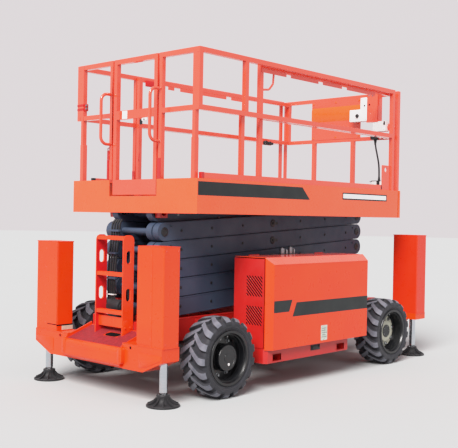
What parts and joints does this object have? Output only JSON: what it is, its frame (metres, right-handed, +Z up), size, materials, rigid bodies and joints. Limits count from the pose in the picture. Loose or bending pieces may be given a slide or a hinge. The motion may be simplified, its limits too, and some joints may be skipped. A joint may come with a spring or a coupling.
{
  "type": "rough-terrain scissor lift",
  "caption": "Four-wheel scissor lift with folded arm stack, railed deck with sliding extension and four outrigger jacks.",
  "frame": {"origin": "middle of the footprint on the ground", "axes": "+X forward, towards the extension deck; +Y to the machine's left; +Z up"},
  "size_m": [3.681, 1.8, 2.617],
  "materials": {
    "orange_paint": "gloss powder coat",
    "stack_paint": "satin",
    "dark_paint": "satin",
    "deck_plate": "embossed non-slip plate",
    "tyre": "matt lugged rubber",
    "rim_black": "satin",
    "chrome_rod": "hard chrome",
    "control_plastic": "matt",
    "black_plastic": "matt",
    "black_rubber": "matt"
  },
  "bodies": {
    "chassis": {"chassis_frame": "orange_paint", "rear_outrigger_beam": "orange_paint", "front_outrigger_beam": "orange_paint", "jack_cover_rear_left": "orange_paint", "jack_cover_rear_right": "orange_paint", "jack_cover_front_left": "orange_paint", "jack_cover_front_right": "orange_paint", "ladder": "orange_paint", "side_tray_left": "orange_paint", "side_tray_right": "orange_paint", "engine_block": "dark_paint", "hydraulic_tank": "dark_paint", "fuel_tank": "dark_paint", "rear_axle": "dark_paint", "front_axle": "dark_paint", "steering_cylinder": "chrome_rod"},
    "tray_cover_left": {"tray_cover_left": "orange_paint"},
    "knuckle_left": {"knuckle_left": "dark_paint"},
    "tray_cover_right": {"tray_cover_right": "orange_paint"},
    "knuckle_right": {"knuckle_right": "dark_paint"},
    "wheel_rear_left": {"tyre_rear_left": "tyre", "rim_rear_left": "rim_black"},
    "leg_rear_left": {"outrigger_leg_rear_left": "chrome_rod"},
    "wheel_rear_right": {"tyre_rear_right": "tyre", "rim_rear_right": "rim_black"},
    "leg_rear_right": {"outrigger_leg_rear_right": "chrome_rod"},
    "wheel_front_left": {"tyre_front_left": "tyre", "rim_front_left": "rim_black"},
    "leg_front_left": {"outrigger_leg_front_left": "chrome_rod"},
    "wheel_front_right": {"tyre_front_right": "tyre", "rim_front_right": "rim_black"},
    "leg_front_right": {"outrigger_leg_front_right": "chrome_rod"},
    "outer_1": {"scissor_outer_1": "stack_paint"},
    "inner_1": {"scissor_inner_1": "stack_paint", "lower_roller_shaft": "dark_paint"},
    "outer_2": {"scissor_outer_2": "stack_paint"},
    "inner_2": {"scissor_inner_2": "stack_paint"},
    "outer_3": {"scissor_outer_3": "stack_paint"},
    "inner_3": {"scissor_inner_3": "stack_paint"},
    "outer_4": {"scissor_outer_4": "stack_paint"},
    "inner_4": {"scissor_inner_4": "stack_paint"},
    "outer_5": {"scissor_outer_5": "stack_paint", "upper_roller_shaft": "dark_paint"},
    "inner_5": {"scissor_inner_5": "stack_paint"},
    "lift_barrel": {"lift_cylinder_barrel": "dark_paint"},
    "lift_rod": {"lift_cylinder_rod": "chrome_rod"},
    "platform": {"platform_deck": "deck_plate", "platform_fascia": "orange_paint", "side_rail_left": "orange_paint", "side_rail_right": "orange_paint", "rear_rails": "orange_paint"},
    "gate": {"entry_gate": "orange_paint"},
    "extension": {"extension_deck": "deck_plate", "extension_front_skirt": "orange_paint", "extension_rails": "orange_paint", "front_panel": "orange_paint", "control_box": "control_plastic", "control_plug": "black_plastic", "control_cable": "black_rubber"}
  },
  "joints": [
    {"name": "steer_left", "type": "hinge", "parent": "chassis", "child": "knuckle_left", "pos_m": [1.085, 0.66, 0.305], "axis": [0, 0, 1], "range_deg": [-35, 35]},
    {"name": "steer_right", "type": "hinge", "parent": "chassis", "child": "knuckle_right", "pos_m": [1.085, -0.66, 0.305], "axis": [0, 0, 1], "range_deg": [-35, 35]},
    {"name": "spin_rear_left", "type": "hinge", "parent": "chassis", "child": "wheel_rear_left", "pos_m": [-1.191, 0.727, 0.305], "axis": [0, 1, 0], "continuous": true},
    {"name": "jack_rear_left", "type": "slide", "parent": "chassis", "child": "leg_rear_left", "axis": [0, 0, -1], "range_m": [-0.13, 0.3]},
    {"name": "spin_rear_right", "type": "hinge", "parent": "chassis", "child": "wheel_rear_right", "pos_m": [-1.191, -0.727, 0.305], "axis": [0, 1, 0], "continuous": true},
    {"name": "jack_rear_right", "type": "slide", "parent": "chassis", "child": "leg_rear_right", "axis": [0, 0, -1], "range_m": [-0.13, 0.3]},
    {"name": "spin_front_left", "type": "hinge", "parent": "knuckle_left", "child": "wheel_front_left", "pos_m": [1.085, 0.727, 0.305], "axis": [0, 1, 0], "continuous": true},
    {"name": "jack_front_left", "type": "slide", "parent": "chassis", "child": "leg_front_left", "axis": [0, 0, -1], "range_m": [-0.13, 0.3]},
    {"name": "spin_front_right", "type": "hinge", "parent": "knuckle_right", "child": "wheel_front_right", "pos_m": [1.085, -0.727, 0.305], "axis": [0, 1, 0], "continuous": true},
    {"name": "jack_front_right", "type": "slide", "parent": "chassis", "child": "leg_front_right", "axis": [0, 0, -1], "range_m": [-0.13, 0.3]},
    {"name": "cover_left", "type": "hinge", "parent": "chassis", "child": "tray_cover_left", "pos_m": [-0.06, 0.524, 1.05], "axis": [1, 0, 0], "range_deg": [0, 45]},
    {"name": "cover_right", "type": "hinge", "parent": "chassis", "child": "tray_cover_right", "pos_m": [-0.06, -0.524, 1.05], "axis": [-1, 0, 0], "range_deg": [0, 45]},
    {"name": "lift", "type": "hinge", "parent": "chassis", "child": "outer_1", "pos_m": [-1.377, 0, 0.64], "axis": [0, -1, 0], "range_deg": [0, 30.1]},
    {"name": "cross_1", "type": "hinge", "parent": "outer_1", "child": "inner_1", "pos_m": [-0.06414, 0, 0.715], "axis": [0, -1, 0], "range_deg": [-61, 1]},
    {"name": "rear_pin_2", "type": "hinge", "parent": "inner_1", "child": "outer_2", "pos_m": [-1.377, 0, 0.79], "axis": [0, -1, 0], "range_deg": [-1, 61]},
    {"name": "cross_2", "type": "hinge", "parent": "outer_2", "child": "inner_2", "pos_m": [-0.06414, 0, 0.865], "axis": [0, -1, 0], "range_deg": [-61, 1]},
    {"name": "rear_pin_3", "type": "hinge", "parent": "inner_2", "child": "outer_3", "pos_m": [-1.377, 0, 0.94], "axis": [0, -1, 0], "range_deg": [-1, 61]},
    {"name": "cross_3", "type": "hinge", "parent": "outer_3", "child": "inner_3", "pos_m": [-0.06414, 0, 1.015], "axis": [0, -1, 0], "range_deg": [-61, 1]},
    {"name": "rear_pin_4", "type": "hinge", "parent": "inner_3", "child": "outer_4", "pos_m": [-1.377, 0, 1.09], "axis": [0, -1, 0], "range_deg": [-1, 61]},
    {"name": "cross_4", "type": "hinge", "parent": "outer_4", "child": "inner_4", "pos_m": [-0.06414, 0, 1.165], "axis": [0, -1, 0], "range_deg": [-61, 1]},
    {"name": "rear_pin_5", "type": "hinge", "parent": "inner_4", "child": "outer_5", "pos_m": [-1.377, 0, 1.24], "axis": [0, -1, 0], "range_deg": [-1, 61]},
    {"name": "cross_5", "type": "hinge", "parent": "outer_5", "child": "inner_5", "pos_m": [-0.06414, 0, 1.315], "axis": [0, -1, 0], "range_deg": [-61, 1]},
    {"name": "deck_pin", "type": "hinge", "parent": "inner_5", "child": "platform", "pos_m": [-1.377, 0, 1.39], "axis": [0, -1, 0], "range_deg": [-1, 31]},
    {"name": "cylinder_eye", "type": "hinge", "parent": "inner_2", "child": "lift_barrel", "pos_m": [-0.77156, 0, 0.75517], "axis": [0, -1, 0], "range_deg": [-1, 55.15]},
    {"name": "cylinder_rod", "type": "slide", "parent": "lift_barrel", "child": "lift_rod", "axis": [0.9374, 0, 0.3482], "range_m": [-0.005, 0.3554]},
    {"name": "gate_hinge", "type": "hinge", "parent": "platform", "child": "gate", "pos_m": [-1.434, 0.216, 1.516], "axis": [0, 0, 1], "range_deg": [0, 90]},
    {"name": "extension_slide", "type": "slide", "parent": "platform", "child": "extension", "axis": [1, 0, 0], "range_m": [0, 1.2]}
  ],
  "couplings": [
    {"joint": "cross_1", "follows": "lift", "ratio": -2},
    {"joint": "rear_pin_2", "follows": "lift", "ratio": 2},
    {"joint": "cross_2", "follows": "lift", "ratio": -2},
    {"joint": "rear_pin_3", "follows": "lift", "ratio": 2},
    {"joint": "cross_3", "follows": "lift", "ratio": -2},
    {"joint": "rear_pin_4", "follows": "lift", "ratio": 2},
    {"joint": "cross_4", "follows": "lift", "ratio": -2},
    {"joint": "rear_pin_5", "follows": "lift", "ratio": 2},
    {"joint": "cross_5", "follows": "lift", "ratio": -2},
    {"joint": "deck_pin", "follows": "lift", "ratio": 1},
    {"joint": "cylinder_eye", "follows": "lift", "ratio": 1.7789},
    {"joint": "cylinder_rod", "follows": "lift", "m_per_rad": 0.66973},
    {"joint": "steer_right", "follows": "steer_left", "ratio": 1}
  ]
}
